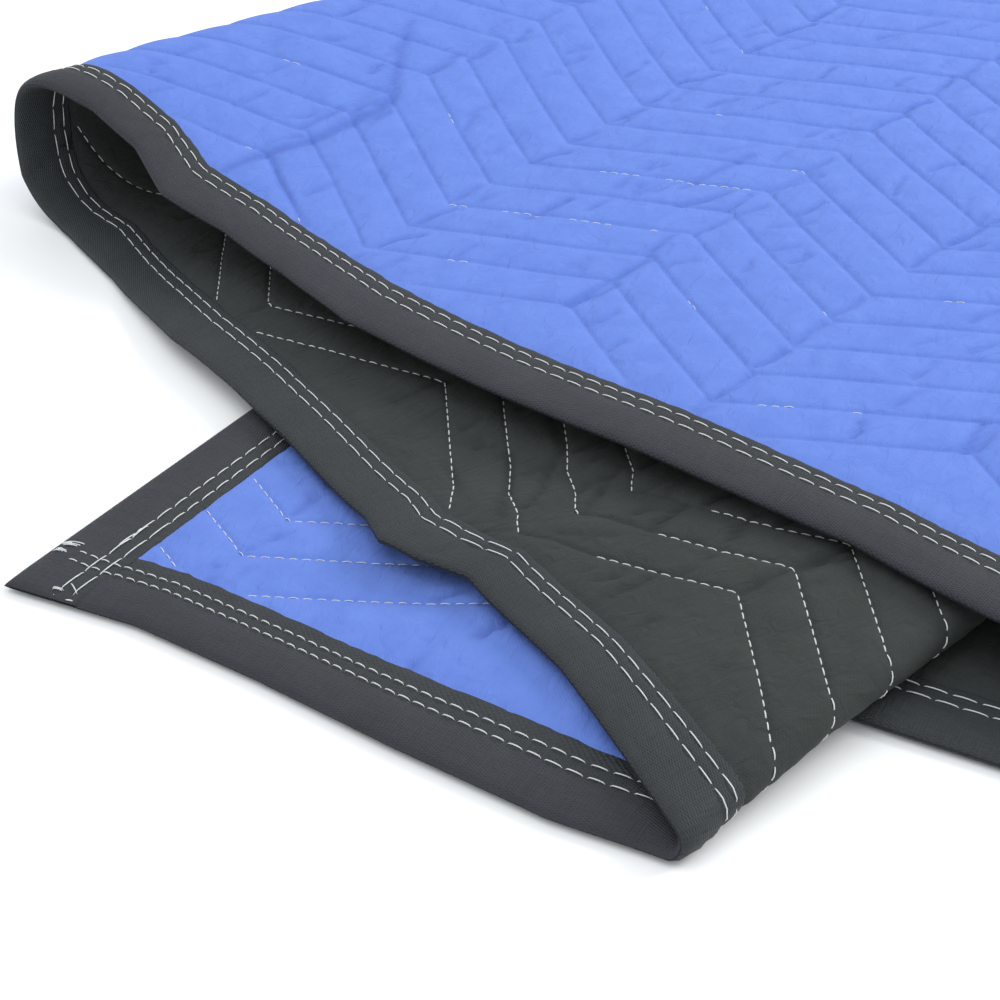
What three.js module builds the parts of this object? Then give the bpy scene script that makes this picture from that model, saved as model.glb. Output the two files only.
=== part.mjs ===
// Quilted moving blanket, folded to and fro in four layers with its left corner spread on the floor.
// Millimetres, +Z up, floor at Z = 0. X runs along the front edge of the top layer, +Y to the back.
// Flat cloth measures: s along the long front edge from the left short edge, t back from the front edge.
import * as THREE from 'three';

const blanketLength = 1460;
const blanketWidth = 600;
const halfThickness = 2.3;      // face or back panel with its half of the wadding, at the top of a pillow
const seamHalf = 1.35;          // the same under a line of quilting
const pressedHalf = 1.15;       // the same inside the binding
const panelGap = 0.3;           // between the two panels
const fitGap = 0.3;             // binding to binding, where they meet at the corners
const tapeSlack = 0.5;          // panel edge to the bottom of the binding's fold
const bindingFace = 25.4;       // one inch of tape on each side of the blanket
const tapeThickness = 0.7;
const layerGap = 1.6;           // air between one lying layer and the next
const coverLift = 6.6;          // what the left layers rise to pass over the bottom right layer
const rowPitch = 23;            // quilting row to row, across the blanket
const edgeReach = 90;           // how far the unevenness of the front edge runs into the cloth

// The left layer on the floor: its corner and the way its front edge runs (degrees).
const corner = { x: -147.97, y: -45.58, heading: -34.05 };
// Fold lines: where they start on the front edge, and their angle to it.
const foldTwo = { s: 220.87, angle: 78.28, radius: 3.60 };
const foldOne = { s: 631.38, angle: 82.31 };
const foldFour = { s: 1244.77, angle: 97.25 };
// The open loop at the left: run of cloth (mm) and how far it turns (degrees) over that run.
const loopRun = [
  { run: 50.04, turn: 90.00 },
  { run: 19.12, turn: 90.00 },
  { run: 11.24, turn: 16.42 },
  { run: 50.37, turn: 0.00 },
  { run: 81.08, turn: -16.42 },
];
// How far the cloth has crept back from a straight front edge, along s.
const edgeCreep = [
  { s: 0, creep: -0.8 }, { s: 45, creep: 6.9 }, { s: 90, creep: 7.7 }, { s: 140, creep: 6.2 },
  { s: 190, creep: 6.6 }, { s: 225, creep: 9.6 }, { s: 262, creep: 14.6 }, { s: 300, creep: 19.2 },
  { s: 330, creep: 19.5 }, { s: 350, creep: 20.0 }, { s: 365, creep: 11.0 }, { s: 380, creep: 6.8 },
  { s: 395, creep: 10.8 }, { s: 415, creep: 11.0 }, { s: 450, creep: 12.1 }, { s: 490, creep: 11.6 },
  { s: 530, creep: 8.7 }, { s: 575, creep: 10.7 }, { s: 620, creep: 14.7 }, { s: 660, creep: 6.4 },
  { s: 700, creep: 9.5 }, { s: 725, creep: 16.7 }, { s: 750, creep: 17.0 }, { s: 775, creep: 8.2 },
  { s: 805, creep: 11.3 }, { s: 840, creep: 7.6 }, { s: 880, creep: -1.1 }, { s: 930, creep: 1.1 },
  { s: 980, creep: 2.1 }, { s: 1030, creep: 5.0 }, { s: 1080, creep: 10.8 }, { s: 1130, creep: 6.1 },
  { s: 1200, creep: 8.2 },
];
// Turning points of the zigzag quilting, and how far from the front edge the first row turns there.
const zigzag = [
  { s: -28, rise: 45 }, { s: 51, rise: -2.7 }, { s: 137, rise: 46 }, { s: 217, rise: 3 },
  { s: 298, rise: 50.3 }, { s: 361, rise: 13 }, { s: 450, rise: 67.4 }, { s: 528, rise: 17.8 },
  { s: 612, rise: 66 }, { s: 692, rise: 17 }, { s: 781, rise: 72 }, { s: 851, rise: 36.1 },
  { s: 933.5, rise: 77.9 }, { s: 1006.5, rise: 36.3 }, { s: 1084, rise: 80 }, { s: 1162, rise: 36 },
  { s: 1240, rise: 80 }, { s: 1318, rise: 36 }, { s: 1396, rise: 80 }, { s: 1474, rise: 36 },
];
const hump = { s: 372, height: 5, along: 24, across: 55 };   // small buckle in the second layer's edge
const swell = { height: 1.5, pitch: 155.5, low: 933 };       // soft waves in the top layer
const settle = { share: 0.35, from: 20, to: 420 };           // the loop lies lower towards the back
const turnToFront = 41;                                      // turns the plan so the top front edge is X
const centre = { x: 7.0, y: 244.63 };                        // middle of the folded blanket's plan

const blue = new THREE.MeshStandardMaterial({ color: 0x4a66d8, roughness: 0.85, metalness: 0 });
const black = new THREE.MeshStandardMaterial({ color: 0x262928, roughness: 0.85, metalness: 0 });
const tape = new THREE.MeshStandardMaterial({ color: 0x2b2d30, roughness: 0.6, metalness: 0 });

const radians = (degrees) => degrees * Math.PI / 180;
const clamp = (value, low, high) => Math.min(high, Math.max(low, value));
function ease(from, to, value) {
  const u = clamp((value - from) / (to - from), 0, 1);
  return u * u * (3 - 2 * u);
}
function readTable(table, s, column) {
  if (s <= table[0].s) return table[0][column];
  for (let i = 1; i < table.length; i += 1) {
    if (s <= table[i].s) {
      const share = (s - table[i - 1].s) / (table[i].s - table[i - 1].s);
      return table[i - 1][column] + share * (table[i][column] - table[i - 1][column]);
    }
  }
  return table[table.length - 1][column];
}

// Side view of the loop: distance out from the fold's start and height, after a run of cloth.
function loopAt(run) {
  let [x, z, angle, left] = [0, 0, 0, run];
  for (const piece of loopRun) {
    if (left <= 0) break;
    const used = Math.min(left, piece.run);
    const bend = radians(piece.turn) * used / piece.run;
    if (piece.turn === 0) {
      x += used * Math.cos(angle);
      z += used * Math.sin(angle);
    } else {
      const radius = used / bend;
      x += radius * (Math.sin(angle + bend) - Math.sin(angle));
      z -= radius * (Math.cos(angle + bend) - Math.cos(angle));
    }
    angle += bend;
    left -= used;
  }
  return { x: x - Math.max(0, left), z };
}

const along = (origin, a, u, b, v) => ({
  x: origin.x + a * u.x + b * v.x,
  y: origin.y + a * u.y + b * v.y,
});
const heading = (degrees) => ({ x: Math.cos(radians(degrees)), y: Math.sin(radians(degrees)) });

// A fold line on the flat cloth: 'a' runs along it, 'd' is the distance past it.
function foldFrame(fold) {
  const line = heading(fold.angle);
  return {
    a: (s, t) => (s - fold.s) * line.x + t * line.y,
    d: (s, t) => (s - fold.s) * line.y - t * line.x,
  };
}
const two = foldFrame(foldTwo);
const one = foldFrame(foldOne);
const four = foldFrame(foldFour);
const loopEnd = loopRun.reduce((sum, piece) => sum + piece.run, 0);
const twoRun = Math.PI * foldTwo.radius;

const leftAlong = heading(corner.heading);
const leftBack = heading(corner.heading + 90);
const layerThree = (s, t) => along(corner, s, leftAlong, t, leftBack);

// The plan of a layer past a fold: the fold's own origin and directions, read off the layer before it.
function planFrame(layer, fold, frame) {
  const origin = layer(fold.s, 0);
  const line = heading(fold.angle);
  const ahead = layer(fold.s + line.x, line.y);
  const past = layer(fold.s + line.y, -line.x);
  return {
    origin,
    line: { x: ahead.x - origin.x, y: ahead.y - origin.y },
    out: { x: past.x - origin.x, y: past.y - origin.y },
    frame,
  };
}
const planTwo = planFrame(layerThree, foldTwo, two);
const layerTwo = (s, t) => along(
  planTwo.origin, two.a(s, t), planTwo.line, twoRun - two.d(s, t), planTwo.out);
const planOne = planFrame(layerTwo, foldOne, one);
const loopTip = loopAt(loopEnd);
const layerOne = (s, t) => along(
  planOne.origin, one.a(s, t), planOne.line, loopTip.x + loopEnd - one.d(s, t), planOne.out);
const planFour = planFrame(layerOne, foldFour, four);

const levelThree = halfThickness;
const levelTwo = levelThree + 2 * halfThickness + layerGap;
const fourRadius = (levelTwo + loopTip.z - levelThree) / 2;
const fourRun = Math.PI * fourRadius;
const layerFour = (s, t) => along(
  planFour.origin, four.a(s, t), planFour.line, fourRun - four.d(s, t), planFour.out);

// Flat measures of a point of the plan if it lay on the bottom right layer.
const fourOrigin = layerFour(0, 0);
const fourAlong = { x: layerFour(1, 0).x - fourOrigin.x, y: layerFour(1, 0).y - fourOrigin.y };
const fourBack = { x: layerFour(0, 1).x - fourOrigin.x, y: layerFour(0, 1).y - fourOrigin.y };
function overFour(point) {
  const [dx, dy] = [point.x - fourOrigin.x, point.y - fourOrigin.y];
  const s = dx * fourAlong.x + dy * fourAlong.y;
  const t = dx * fourBack.x + dy * fourBack.y;
  return ease(-75, -10, t) * (1 - ease(blanketLength + 12, blanketLength + 110, s));
}

// Middle of the cloth's thickness.
function middle(s, tFlat) {
  const t = tFlat + readTable(edgeCreep, s, 'creep') * Math.exp(-Math.max(0, tFlat) / edgeReach);
  const dOne = one.d(s, t);
  const dFour = four.d(s, t);
  let point;
  let z;
  if (dOne <= 0) {
    const d = two.d(s, t);
    const angle = clamp(d, 0, twoRun) / foldTwo.radius;
    let x = d;
    if (d > twoRun) x = twoRun - d;
    else if (d > 0) x = foldTwo.radius * Math.sin(angle);
    point = along(planTwo.origin, two.a(s, t), planTwo.line, x, planTwo.out);
    const lift = overFour(point);
    const open = 2 * foldTwo.radius;
    const level = open - (open - levelTwo + levelThree) * ease(0, 70, d - twoRun);
    z = levelThree + level * (1 - Math.cos(angle)) / 2 + coverLift * lift;
    if (d > twoRun) {
      const across = Math.max(0, tFlat) / hump.across;
      z += hump.height * Math.exp(-(((s - hump.s) / hump.along) ** 2) - across * across);
    }
    z -= (levelTwo - levelThree) * pastLeftEdge(point) * ease(0, 60, d - twoRun);
  } else if (dFour <= 0) {
    const loop = loopAt(dOne);
    point = along(planOne.origin, one.a(s, t), planOne.line, loop.x, planOne.out);
    const sink = settle.share * ease(settle.from, settle.to, tFlat) * ease(0, 50, dOne);
    z = levelTwo + loop.z - sink * (loop.z - loopTip.z);
    z += coverLift * overFour(point) * (1 - ease(0, 60, dOne));
    z -= (levelTwo - levelThree) * pastLeftEdge(point) * (1 - ease(0, 45, dOne));
    const flat = ease(0, 40, dOne - loopEnd) * ease(0, 40, -dFour);
    z -= swell.height * Math.cos(2 * Math.PI * (s - swell.low) / swell.pitch) * flat;
  } else {
    const angle = Math.min(dFour, fourRun) / fourRadius;
    const x = dFour > fourRun ? fourRun - dFour : fourRadius * Math.sin(angle);
    point = along(planFour.origin, four.a(s, t), planFour.line, x, planFour.out);
    z = levelThree + fourRadius * (1 + Math.cos(angle));
  }
  return new THREE.Vector3(point.x, point.y, z);
}
// The second layer sinks to the floor past the left layer's short edge.
function pastLeftEdge(point) {
  const s = (point.x - corner.x) * leftAlong.x + (point.y - corner.y) * leftAlong.y;
  return 1 - ease(-110, -25, s);
}

const frontTurn = new THREE.Matrix4().makeRotationZ(radians(turnToFront));
// A point of the blanket: n above the middle of the cloth on its blue side.
function place(s, t, n) {
  const point = middle(s, t);
  const ds = middle(s + 0.5, t).sub(middle(s - 0.5, t));
  const dt = middle(s, t + 0.5).sub(middle(s, t - 0.5));
  const normal = ds.cross(dt).normalize();
  point.addScaledVector(normal, n).applyMatrix4(frontTurn);
  return [point.x - centre.x, point.y - centre.y, point.z];
}

// Columns of the cloth's mesh: fold lines keep their slant, the rest stand on the zigzag's turns.
const slant = (fold) => 1 / Math.tan(radians(fold.angle));
function foldColumns(fold, runs) {
  const step = 1 / Math.sin(radians(fold.angle));
  return runs.map((run) => (t) => fold.s + run * step + t * slant(fold));
}
const evenly = (from, to, count) => Array.from(
  { length: count + 1 }, (_, i) => from + (to - from) * i / count);
const twoColumns = foldColumns(foldTwo, [...evenly(0, twoRun, 6), twoRun + 8]);
const loopSteps = [4, 4, 1, 2, 3];
const loopColumns = foldColumns(foldOne, loopRun.reduce((runs, piece, i) => {
  const last = runs[runs.length - 1];
  return [...runs, ...evenly(last, last + piece.run, loopSteps[i]).slice(1)];
}, [0]));
const fourColumns = foldColumns(foldFour, evenly(0, fourRun, 6));
// Other columns: [start, lean]; they give way to the fold lines beside them.
function straightColumns(list, before, after) {
  return list.map(([start, lean], i) => (t) => {
    const s = start + lean * t;
    const low = before ? before(t) + 8 * (i + 1) : s;
    const high = after ? after(t) - 8 * (list.length - i) : s;
    return clamp(s, low, Math.max(low, high));
  });
}
const edgeIn = bindingFace - 0.4;
const edgeOut = bindingFace + 2;
const panelEdge = 2 * tapeThickness + 0.2;
const columns = [
  ...[panelEdge, edgeIn, edgeOut].map((s) => () => s),
  ...straightColumns(
    [[51, 0], [94, 0], [137, 0], [170, 0.05], [190, 0.11], [204, 0.16]], null, twoColumns[0]),
  ...twoColumns,
  ...straightColumns([[262, 0], [298, 0], [330, 0], [361, 0], [385, 0], [415, 0], [450, 0], [489, 0],
    [528, 0], [570, 0], [600, 0.05], [617, 0.1]], twoColumns[7], loopColumns[0]),
  ...loopColumns,
  ...straightColumns([[851, 0], [892, 0], [933.5, 0], [970, 0], [1006.5, 0], [1045, 0], [1084, 0], [1123, 0],
    [1162, 0], [1200, 0], [1226, 0]], loopColumns[loopColumns.length - 1], fourColumns[0]),
  ...fourColumns,
  ...straightColumns([[1296, -0.1], [1318, -0.06], [1348, 0], [1380, 0]], fourColumns[6], null),
  ...[blanketLength - edgeOut, blanketLength - edgeIn, blanketLength - panelEdge].map((s) => () => s),
];

// Height of the quilted surface over the middle of the cloth.
function puff(s, t, quilted) {
  const edge = Math.min(s, blanketLength - s, t, blanketWidth - t);
  if (edge < bindingFace) return pressedHalf;
  const full = clamp(1.6 + (edge - bindingFace - 1.6) * 0.12, 1.6, halfThickness);
  if (!quilted) return full;
  const row = (t - readTable(zigzag, s, 'rise')) / rowPitch;
  const seam = Math.abs(Math.cos(Math.PI * row));
  return seamHalf + (full - seamHalf) * (1 - seam * seam);
}
function solveRow(column, row) {
  let t = 100;
  for (let i = 0; i < 30; i += 1) t = row * rowPitch + readTable(zigzag, column(t), 'rise');
  return t;
}
const rowOf = (s, t) => (t - readTable(zigzag, s, 'rise')) / rowPitch;

// The points of one column, in order from front to back: closed rows where the quilting shows, sparse
// rows where layer presses on layer or on the floor.
function outerColumn(index, closed) {
  const column = columns[index];
  const inner = [];
  const [first, last] = [edgeOut, blanketWidth - edgeOut];
  const plain = index < 3 || index > columns.length - 4;
  if (plain) {
    for (let k = 1; k < 12; k += 1) inner.push({ t: first + (last - first) * k / 12, dense: false });
  } else {
    for (let half = -8; half < 54; half += 1) {
      const t = solveRow(column, half / 2);
      if (t < first + 3 || t > last - 3) continue;
      const dense = closed(column(t), t);
      if (dense || half % 4 === 0) inner.push({ t, dense });
    }
  }
  const point = (t, dense) => ({ s: column(t), t, n: puff(column(t), t, dense), key: rowOf(column(t), t) });
  return {
    start: [point(panelEdge, false), point(edgeIn, false)],
    body: [point(first, false), ...inner.map((entry) => point(entry.t, entry.dense)), point(last, false)],
    end: [point(blanketWidth - edgeIn, false), point(blanketWidth - panelEdge, false)],
    plain,
  };
}
const innerRows = [panelEdge, edgeIn, ...evenly(edgeOut, blanketWidth - edgeOut, 12), blanketWidth - edgeIn,
  blanketWidth - panelEdge];

class Skin {
  constructor() {
    this.points = [];
    this.faces = [];
  }
  add(s, t, n) {
    this.points.push(place(s, t, n));
    return this.points.length - 1;
  }
  // Joins two rows of vertices that run side by side; each entry is { id, key }.
  zip(left, right, flip) {
    let [i, j] = [0, 0];
    while (i < left.length - 1 || j < right.length - 1) {
      const goLeft = j === right.length - 1
        || (i < left.length - 1 && left[i + 1].key <= right[j + 1].key);
      const next = goLeft ? left[i + 1] : right[j + 1];
      const face = [left[i].id, right[j].id, next.id];
      this.faces.push(flip ? face.reverse() : face);
      if (goLeft) i += 1;
      else j += 1;
    }
  }
  mesh(name, material) {
    const geometry = new THREE.BufferGeometry();
    geometry.setAttribute('position', new THREE.Float32BufferAttribute(this.points.flat(), 3));
    geometry.setIndex(this.faces.flat());
    geometry.computeVertexNormals();
    const mesh = new THREE.Mesh(geometry, material);
    mesh.name = name;
    return mesh;
  }
}

// One panel: a quilted outer skin, a plain inner skin and the cut edges between them.
function panel(name, material, side, closed) {
  const skin = new Skin();
  const flip = side < 0;
  const outer = columns.map((_, index) => {
    const column = outerColumn(index, closed);
    const enter = (list, plainKey) => list.map((p) => ({
      id: skin.add(p.s, p.t, side * p.n), key: plainKey ? p.t : p.key, t: p.t }));
    return {
      start: enter(column.start),
      body: enter(column.body, column.plain),
      end: enter(column.end),
      plain: column.plain,
    };
  });
  const inner = columns.map((column) => innerRows.map((t) => ({
    id: skin.add(column(t), t, side * panelGap / 2), key: t })));
  const byT = (list) => list.map((p) => ({ id: p.id, key: p.t }));
  for (let i = 0; i < columns.length - 1; i += 1) {
    const [a, b] = [outer[i], outer[i + 1]];
    const plain = a.plain || b.plain;
    const rows = (list) => (plain ? byT(list) : list);
    skin.zip(byT([...a.start, a.body[0]]), byT([...b.start, b.body[0]]), flip);
    skin.zip(rows(a.body), rows(b.body), flip);
    skin.zip(byT([a.body[a.body.length - 1], ...a.end]), byT([b.body[b.body.length - 1], ...b.end]), flip);
    skin.zip(inner[i], inner[i + 1], !flip);
    const wall = (p, q, r, u) => skin.zip([{ id: p.id, key: 0 }, { id: q.id, key: 1 }],
      [{ id: r.id, key: 0 }, { id: u.id, key: 1 }], flip);
    wall(inner[i][0], a.start[0], inner[i + 1][0], b.start[0]);
    wall(a.end[1], inner[i][inner[i].length - 1], b.end[1], inner[i + 1][inner[i + 1].length - 1]);
  }
  const whole = (column) => byT([...column.start, ...column.body, ...column.end]);
  skin.zip(inner[0], whole(outer[0]), flip);
  skin.zip(whole(outer[outer.length - 1]), inner[inner.length - 1], flip);
  return skin.mesh(name, material);
}

// Section of the folded tape: distance in from the blanket's edge, and height over the middle.
const foldBottom = panelEdge - tapeSlack;
const tapeInside = halfThickness - tapeThickness;
const tapeSection = [
  { into: bindingFace, n: halfThickness }, { into: 2, n: halfThickness }, { into: 0, n: 1 },
  { into: 0, n: -1 }, { into: 2, n: -halfThickness }, { into: bindingFace, n: -halfThickness },
  { into: bindingFace, n: -tapeInside }, { into: foldBottom, n: -tapeInside },
  { into: foldBottom, n: tapeInside }, { into: bindingFace, n: tapeInside },
];
// A length of tape: stations along the edge, each placing the section; capped at both ends.
function binding(name, stations, placePoint, flip, rising) {
  const skin = new Skin();
  const rings = stations.map((station) => tapeSection.map((p) => {
    const at = placePoint(station, p.into);
    return skin.add(at.s, at.t, p.n);
  }));
  const count = tapeSection.length;
  const push = (face) => skin.faces.push(flip ? face.reverse() : face);
  for (let i = 0; i < rings.length - 1; i += 1) {
    for (let k = 0; k < count; k += 1) {
      const m = (k + 1) % count;
      const outward = tapeSection[m].into < tapeSection[k].into;
      if (outward === rising) {
        push([rings[i][k], rings[i][m], rings[i + 1][m]]);
        push([rings[i][k], rings[i + 1][m], rings[i + 1][k]]);
      } else {
        push([rings[i][k], rings[i][m], rings[i + 1][k]]);
        push([rings[i][m], rings[i + 1][m], rings[i + 1][k]]);
      }
    }
  }
  const cap = (ring, back) => {
    const faces = [[0, 9, 1], [9, 8, 1], [1, 8, 2], [8, 7, 2], [7, 3, 2], [7, 4, 3], [7, 6, 4], [6, 5, 4]];
    for (const face of faces) {
      const ids = face.map((k) => ring[k]);
      push(back ? ids.reverse() : ids);
    }
  };
  cap(rings[0], false);
  cap(rings[rings.length - 1], true);
  return skin.mesh(name, tape);
}

// Long edges: the tape stops a hair short of the short-edge tapes, which lap the corners.
const tapeStart = bindingFace + fitGap;
const longStations = [
  () => tapeStart,
  ...columns.slice(3, columns.length - 3),
  () => blanketLength - tapeStart,
];
const shortStations = [0, edgeIn, ...evenly(edgeOut, blanketWidth - edgeOut, 12), blanketWidth - edgeIn,
  blanketWidth];

const shownBlue = (s, t) => (s > 690 && s < 1290) || (s < 180 && t < 190);
const shownBlack = (s, t) => s > 205 && s < 640 && t < 215;

const group = new THREE.Group();
group.name = 'moving_blanket';
group.add(panel('face_panel', blue, 1, shownBlue));
group.add(panel('back_panel', black, -1, shownBlack));
group.add(binding('front_binding', longStations,
  (column, into) => ({ s: column(into), t: into }), false, true));
group.add(binding('back_binding', longStations,
  (column, into) => ({ s: column(blanketWidth - into), t: blanketWidth - into }), true, false));
group.add(binding('left_binding', shortStations,
  (t, into) => ({ s: into, t }), true, true));
group.add(binding('right_binding', shortStations,
  (t, into) => ({ s: blanketLength - into, t }), false, false));

export default group;
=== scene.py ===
import math

import bpy
import mathutils
import numpy as np
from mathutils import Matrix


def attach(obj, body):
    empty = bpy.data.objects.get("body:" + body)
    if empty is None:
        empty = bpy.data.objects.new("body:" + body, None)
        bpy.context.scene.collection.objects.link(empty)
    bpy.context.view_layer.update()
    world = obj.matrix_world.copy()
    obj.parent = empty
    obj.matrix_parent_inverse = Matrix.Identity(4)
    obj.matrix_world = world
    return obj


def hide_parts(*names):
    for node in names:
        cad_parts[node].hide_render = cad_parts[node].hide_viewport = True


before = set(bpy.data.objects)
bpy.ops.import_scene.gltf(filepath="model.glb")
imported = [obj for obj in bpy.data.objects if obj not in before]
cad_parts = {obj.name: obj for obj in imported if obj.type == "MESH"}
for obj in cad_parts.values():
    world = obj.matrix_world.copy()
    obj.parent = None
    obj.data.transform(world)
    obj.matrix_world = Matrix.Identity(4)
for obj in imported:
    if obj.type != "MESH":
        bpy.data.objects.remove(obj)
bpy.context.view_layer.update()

mm = 0.001

# Flat cloth measures in millimetres: s along the long front edge from the left short edge,
# t back from the front edge, n above the middle of the cloth on its blue side.
blanket = {
    "length": 1460.0,
    "width": 600.0,
    "halfThickness": 2.3,
    "layerGap": 1.6,
    "coverLift": 6.6,
    "edgeReach": 90.0,
    "turnToFront": 41.0,
    "centre": (7.0, 244.63),
    "corner": (-147.97, -45.58),
    "heading": -34.05,
    "lowest": 0.05,
}
folds = {
    "two": {"s": 220.87, "angle": 78.28, "radius": 3.60},
    "one": {"s": 631.38, "angle": 82.31},
    "four": {"s": 1244.77, "angle": 97.25},
}
# The open loop at the left: run of cloth, and how far it turns in degrees over that run
loopRun = [(50.04, 90.0), (19.12, 90.0), (11.24, 16.42), (50.37, 0.0), (81.08, -16.42)]
# How far the cloth has crept back from a straight front edge: s, creep
edgeCreep = np.array([
    (0, -0.8), (45, 6.9), (90, 7.7), (140, 6.2), (190, 6.6), (225, 9.6), (262, 14.6), (300, 19.2),
    (330, 19.5), (350, 20.0), (365, 11.0), (380, 6.8), (395, 10.8), (415, 11.0), (450, 12.1),
    (490, 11.6), (530, 8.7), (575, 10.7), (620, 14.7), (660, 6.4), (700, 9.5), (725, 16.7),
    (750, 17.0), (775, 8.2), (805, 11.3), (840, 7.6), (880, -1.1), (930, 1.1), (980, 2.1),
    (1030, 5.0), (1080, 10.8), (1130, 6.1), (1200, 8.2), (1240, 8.2), (1285, 5.4),
])
# Turning points of the zigzag quilting: s, rise of the first row
zigzag = np.array([
    (-28.0, 45.0), (51.0, -2.7), (137.0, 46.0), (217.0, 3.0), (298.0, 48.0), (317.0, 33.6),
    (337.0, 20.6), (358.0, 9.5), (367.0, 19.3), (450.0, 67.4), (528.0, 17.8), (612.0, 66.0),
    (692.0, 17.0), (781.0, 72.0), (851.5, 33.6), (931.5, 79.8), (1008.0, 34.4), (1083.0, 89.5),
    (1161.0, 44.0), (1239.0, 88.0), (1317.0, 44.0), (1395.0, 88.0), (1473.0, 44.0),
])
# The buckle of cloth at the tight fold's tip, and the long waves of the open top
hump = {"s": 372.0, "height": 5.0, "along": 24.0, "across": 55.0}
swell = {"height": 1.5, "pitch": 155.5, "low": 933.0, "fade": 40.0}
# How far the loop sinks towards the back, and how its front bellies out and turns in behind
settle = {"share": 0.35, "from": 20.0, "to": 420.0, "start": 50.0}
loopSwell = {
    "out": 1.7, "turnsIn": 1.5, "from": (638.0, 655.0), "to": (705.0, 745.0), "deep": (20.0, 150.0)}
edgeDroop = {"depth": 1.3, "width": 32.0, "from": (720.0, 780.0), "to": (1170.0, 1225.0)}
# Lengths over which one layer runs up on another or drops past its edge
layerBlend = {
    "behindRight": (-75.0, -10.0),
    "beyondRight": (12.0, 110.0),
    "leftEdge": (-110.0, -25.0),
    "closing": 70.0,
    "lifting": 60.0,
    "dropping": 45.0,
}
rowPitch = 23.0


def ease(start, end, value):
    u = np.clip((value - start) / (end - start), 0.0, 1.0)
    return u * u * (3 - 2 * u)


def heading(degrees):
    return np.array([math.cos(math.radians(degrees)), math.sin(math.radians(degrees))])


# Side view of the loop: distance out from the fold's start, and height, after a run of cloth
def loopAt(run):
    run = np.asarray(run, float)
    x, z = np.zeros_like(run), np.zeros_like(run)
    startX, startZ, angle, passed = 0.0, 0.0, 0.0, 0.0
    for length, turn in loopRun:
        used = np.clip(run - passed, 0, length)
        if turn == 0:
            dx, dz = used * math.cos(angle), used * math.sin(angle)
            endX, endZ = length * math.cos(angle), length * math.sin(angle)
        else:
            radius = length / math.radians(turn)
            bent = angle + used / radius
            dx = radius * (np.sin(bent) - math.sin(angle))
            dz = -radius * (np.cos(bent) - math.cos(angle))
            full = angle + math.radians(turn)
            endX = radius * (math.sin(full) - math.sin(angle))
            endZ = -radius * (math.cos(full) - math.cos(angle))
            angle = full
        inside = run > passed
        x, z = np.where(inside, startX + dx, x), np.where(inside, startZ + dz, z)
        startX, startZ, passed = startX + endX, startZ + endZ, passed + length
    return x - np.maximum(0, run - passed), z


# A fold line on the flat cloth: along it, and past it
def foldMeasure(name):
    fold = folds[name]
    line = heading(fold["angle"])
    return (
        lambda s, t: (s - fold["s"]) * line[0] + t * line[1],
        lambda s, t: (s - fold["s"]) * line[1] - t * line[0],
    )


alongTwo, pastTwo = foldMeasure("two")
alongOne, pastOne = foldMeasure("one")
alongFour, pastFour = foldMeasure("four")
twoRun = math.pi * folds["two"]["radius"]
loopEnd = sum(length for length, turn in loopRun)
loopTip = [float(v) for v in loopAt(loopEnd)]


def combine(origin, a, u, b, v):
    return origin + np.asarray(a)[..., None] * u + np.asarray(b)[..., None] * v


leftAlong, leftBack = heading(blanket["heading"]), heading(blanket["heading"] + 90)
cornerAt = np.array(blanket["corner"])


def layerThree(s, t):
    return combine(cornerAt, s, leftAlong, t, leftBack)


# Where a fold starts in the plan, and its two directions there
def planFrame(layer, name):
    start = folds[name]["s"]
    line = heading(folds[name]["angle"])
    origin = layer(start, 0.0)
    onward = layer(start + line[0], line[1]) - origin
    return origin, onward, layer(start + line[1], -line[0]) - origin


planTwo = planFrame(layerThree, "two")


def layerTwo(s, t):
    return combine(planTwo[0], alongTwo(s, t), planTwo[1], twoRun - pastTwo(s, t), planTwo[2])


planOne = planFrame(layerTwo, "one")


def layerOne(s, t):
    return combine(
        planOne[0], alongOne(s, t), planOne[1], loopTip[0] + loopEnd - pastOne(s, t), planOne[2])


planFour = planFrame(layerOne, "four")
levelThree = blanket["halfThickness"]
levelTwo = levelThree + 2 * blanket["halfThickness"] + blanket["layerGap"]
fourRadius = (levelTwo + loopTip[1] - levelThree) / 2
fourRun = math.pi * fourRadius


def layerFour(s, t):
    return combine(planFour[0], alongFour(s, t), planFour[1], fourRun - pastFour(s, t), planFour[2])


fourOrigin = layerFour(0.0, 0.0)
fourAlong = layerFour(1.0, 0.0) - fourOrigin
fourBack = layerFour(0.0, 1.0) - fourOrigin


# How much a point of the plan has to rise over the bottom right layer
def overFour(point):
    s = (point - fourOrigin) @ fourAlong
    t = (point - fourOrigin) @ fourBack
    near, far = layerBlend["beyondRight"]
    return ease(*layerBlend["behindRight"], t) * (
        1 - ease(blanket["length"] + near, blanket["length"] + far, s))


# How far a point of the plan is past the left layer's short edge
def pastLeftEdge(point):
    return 1 - ease(*layerBlend["leftEdge"], (point - cornerAt) @ leftAlong)


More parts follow.
